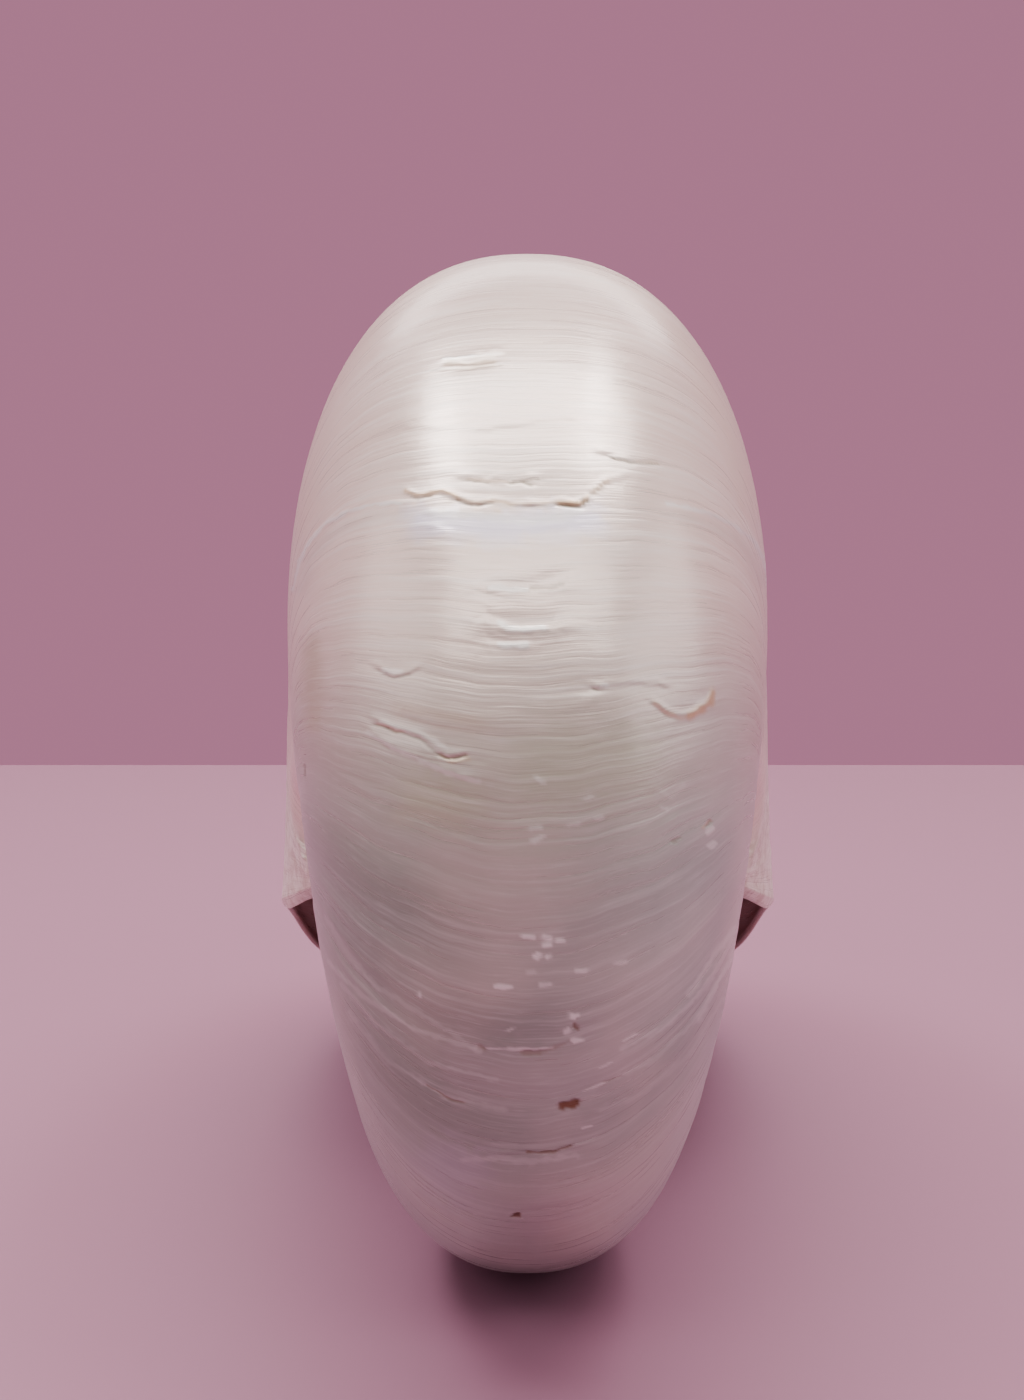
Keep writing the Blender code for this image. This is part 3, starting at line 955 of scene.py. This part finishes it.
def close_skin():
    """Merge the ends of the rows and the seam at the rim, and turn the faces outwards."""
    bpy.ops.object.mode_set(mode="EDIT")
    bpy.ops.mesh.select_all(action="SELECT")
    bpy.ops.mesh.remove_doubles(threshold=MERGE_WITHIN)
    bpy.ops.mesh.normals_make_consistent(inside=False)
    bpy.ops.object.mode_set(mode="OBJECT")
    bpy.ops.object.shade_smooth_by_angle(angle=math.radians(SMOOTH_ANGLE))


def make_shell():
    """The whole shell as one closed skin."""
    base, growth, girth, inside = rows()
    normal = normals(base)
    shell = start_grid(*base.shape[:2])
    cut_marked(shell.data, base, normal)
    lay_skin(shell.data, base, normal, growth, girth, inside)
    close_skin()
    return shell


def put(tree, socket, value):
    """Link a socket, or set it to a plain value."""
    if isinstance(value, bpy.types.NodeSocket):
        tree.links.new(value, socket)
    else:
        socket.default_value = value


def node(tree, kind, *inputs, **settings):
    """A new node: inputs in their order, then its own settings by name."""
    made = tree.nodes.new(kind)
    for name, value in settings.items():
        setattr(made, name, value)
    for slot, value in enumerate(inputs):
        put(tree, made.inputs[slot], value)
    return made


def product(tree, first, second):
    return node(tree, "ShaderNodeMath", first, second, operation="MULTIPLY").outputs[0]


def vector(tree, operation, first, second):
    return node(tree, "ShaderNodeVectorMath", first, second, operation=operation).outputs[0]


def attribute(tree, name):
    """What write kept on the points under this name."""
    return node(tree, "ShaderNodeAttribute", attribute_name=name).outputs


def mix_colour(tree, share, first, second):
    made = node(tree, "ShaderNodeMix", share, data_type="RGBA")
    put(tree, made.inputs[6], first)
    put(tree, made.inputs[7], second)
    return made.outputs[2]


def fit(tree, value, low, high, out_low=0.0, out_high=1.0):
    """A value eased from one range to another."""
    made = node(tree, "ShaderNodeMapRange", value, low, high, out_low, out_high)
    made.interpolation_type = "SMOOTHSTEP"
    return made.outputs[0]


def noise(tree, place, scale, detail, rough):
    """A noise node's outputs, with a scale of its own for each direction where three are given."""
    if isinstance(scale, tuple):
        place = vector(tree, "MULTIPLY", place, scale)
        scale = 1.0
    made = node(tree, "ShaderNodeTexNoise")
    put(tree, made.inputs["Vector"], place)
    put(tree, made.inputs["Scale"], scale)
    put(tree, made.inputs["Detail"], detail)
    put(tree, made.inputs["Roughness"], rough)
    return made.outputs


def nacre_fields(tree):
    """The noise on the shell, by name, and the place along the growth as run."""
    flat = node(tree, "ShaderNodeUVMap", uv_map="coil").outputs[0]
    spot = node(tree, "ShaderNodeTexCoord").outputs["Object"]
    sway = vector(tree, "SUBTRACT", noise(tree, flat, *LINE_SWAY)["Color"], (0.5, 0.5, 0.5))
    sway = vector(tree, "MULTIPLY", sway, LINE_SWAY_BY)
    drawn = vector(tree, "ADD", flat, sway)
    return {
        "run": node(tree, "ShaderNodeSeparateXYZ", flat).outputs[0],
        "hair": noise(tree, drawn, *HAIR)[0],
        "lines": noise(tree, drawn, *LINES)[0],
        "bands": noise(tree, drawn, *BANDS)[0],
        "cloud": noise(tree, spot, *CLOUD)[0],
        "haze": noise(tree, spot, *HAZE)[0],
        "grain": noise(tree, spot, *GRAIN)[0],
        "crumbs": noise(tree, spot, *EAR_GRAIN)[0],
    }


def nacre_colour(tree, fields):
    """Base colour: the nacre's tones with painted shade low down, clouds and lines, then marks, chalky
    corners and the chamber's film and painted shade.
    """
    # Painted shade: the older growth at the lower front turns to a far darker tone, and its underside to a
    # less dark one.
    old = fit(tree, fields["run"], *LOWER_WHORL_SHADE_RUN)
    faint = fit(tree, old, 0.0, 1.0, 1.0, OLD_STREAKS)
    banded = fit(tree, fields["bands"], *BAND_EDGE)
    young_tone = mix_colour(tree, banded, *YOUNG_NACRE)
    lower_whorl_shade_tone = mix_colour(tree, banded, *LOWER_WHORL_SHADE)
    base = mix_colour(tree, old, young_tone, lower_whorl_shade_tone)
    base = mix_colour(tree, fit(tree, fields["run"], *UNDERSIDE_SHADE_AND_BOUNCE_RUN), base, UNDERSIDE_SHADE_AND_BOUNCE)
    for name, low, high, strength, colour in CLOUDS:
        base = mix_colour(tree, fit(tree, fields[name], low, high, 0.0, strength), base, colour)
    tint = attribute(tree, "tint")
    base = mix_colour(tree, tint["Alpha"], base, tint["Color"])
    for name, low, high, strength, colour in STREAKS:
        share = fit(tree, fields[name], low, high, 0.0, strength)
        base = mix_colour(tree, product(tree, share, faint), base, colour)
    mark = attribute(tree, "mark")
    base = mix_colour(tree, mark["Alpha"], base, mark["Color"])
    chalky = mix_colour(tree, fit(tree, fields["crumbs"], *CRUMB_EDGE), *CHALKY_EAR)
    ear = product(tree, attribute(tree, "ear")["Fac"], EAR_CHALK)
    base = mix_colour(tree, ear, base, chalky)
    # The chamber's inside: partly real dark film, partly painted shade.
    film_and_shade = mix_colour(tree, fields["cloud"], *CHAMBER_FILM_AND_SHADE)
    return mix_colour(tree, attribute(tree, "hollow")["Fac"], base, film_and_shade)


def nacre_bump(tree, fields):
    """Normal: the growth lines, hairlines and grain as a low bump."""
    height = 0.0
    for name, share in RAISED:
        raised = product(tree, fields[name], share)
        height = node(tree, "ShaderNodeMath", height, raised, operation="ADD").outputs[0]
    bump = node(tree, "ShaderNodeBump")
    bump.inputs["Strength"].default_value = BUMP_STRENGTH
    bump.inputs["Distance"].default_value = BUMP_HEIGHT
    put(tree, bump.inputs["Height"], height)
    return bump.outputs[0]


def nacre():
    """Polished nacre, with the chalky corners, the chamber's film and painted light and shade on it."""
    made = bpy.data.materials.new("nacre_polished")
    made.use_nodes = True
    tree = made.node_tree
    tree.nodes.clear()
    out = node(tree, "ShaderNodeOutputMaterial")
    shine = node(tree, "ShaderNodeBsdfPrincipled")
    for name, value in NACRE_GLOSS.items():
        shine.inputs[name].default_value = value
    tree.links.new(shine.outputs[0], out.inputs[0])
    fields = nacre_fields(tree)
    put(tree, shine.inputs["Base Color"], nacre_colour(tree, fields))
    rough = fit(tree, fields["lines"], *LINE_EDGE, *NACRE_ROUGHNESS)
    put(tree, shine.inputs["Roughness"], rough)
    put(tree, shine.inputs["Normal"], nacre_bump(tree, fields))
    return made


def floor():
    """A wide sheet of pale paper that the shell stands on, with its far edge in view."""
    select_none()
    middle = FLOOR_END - FLOOR_SIZE / 2
    bpy.ops.mesh.primitive_plane_add(size=FLOOR_SIZE, location=(0, middle, 0))
    ground = bpy.context.object
    ground.name = "floor"
    ground.scale = (FLOOR_STRETCH, 1.0, 1.0)
    bpy.ops.object.transform_apply(location=True, rotation=False, scale=True)
    made = bpy.data.materials.new("floor_paper")
    made.use_nodes = True
    paper = made.node_tree.nodes["Principled BSDF"]
    paper.inputs["Base Color"].default_value = FLOOR_COLOUR
    paper.inputs["Roughness"].default_value = FLOOR_ROUGHNESS
    ground.data.materials.append(made)


def soft_box(name, place, size, power, colour, turn):
    """A rectangular area light."""
    data = bpy.data.lights.new(name, "AREA")
    data.shape = "RECTANGLE"
    data.size, data.size_y = size
    data.energy = power
    data.color = colour
    lamp = bpy.data.objects.new(name, data)
    lamp.location = place
    lamp.rotation_euler = tuple(math.radians(value) for value in turn)
    bpy.context.scene.collection.objects.link(lamp)


def light():
    """The soft boxes, and the studio that the nacre reflects round them."""
    for settings in LIGHTS:
        soft_box(*settings)
    world = bpy.data.worlds.new("studio")
    world.use_nodes = True
    tree = world.node_tree
    sky = tree.nodes["Background"]
    towards = node(tree, "ShaderNodeTexCoord").outputs["Generated"]
    depth = node(tree, "ShaderNodeSeparateXYZ", towards).outputs[1]
    share = fit(tree, depth, *STUDIO_BLEND)
    put(tree, sky.inputs[0], mix_colour(tree, share, STUDIO_NEAR, STUDIO_FAR))
    bpy.context.scene.world = world


def camera():
    """The photograph's view."""
    data = bpy.data.cameras.new("camera")
    data.sensor_fit = "AUTO"
    data.sensor_width = SENSOR
    data.lens = FOCAL / PHOTO_HIGH * SENSOR
    data.shift_x = (PHOTO_WIDE / 2 - MIDDLE) / PHOTO_HIGH
    data.clip_start = 0.001
    made = bpy.data.objects.new("camera", data)
    made.location = camera_place()
    made.rotation_euler = (math.radians(90 - CAMERA_DOWN), 0, 0)
    bpy.context.scene.collection.objects.link(made)
    bpy.context.scene.camera = made


def main():
    camera()
    light()
    floor()
    shell = make_shell()
    shell.data.materials.append(nacre())
    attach(shell, "root")
    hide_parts("nautilus_shell")


main()
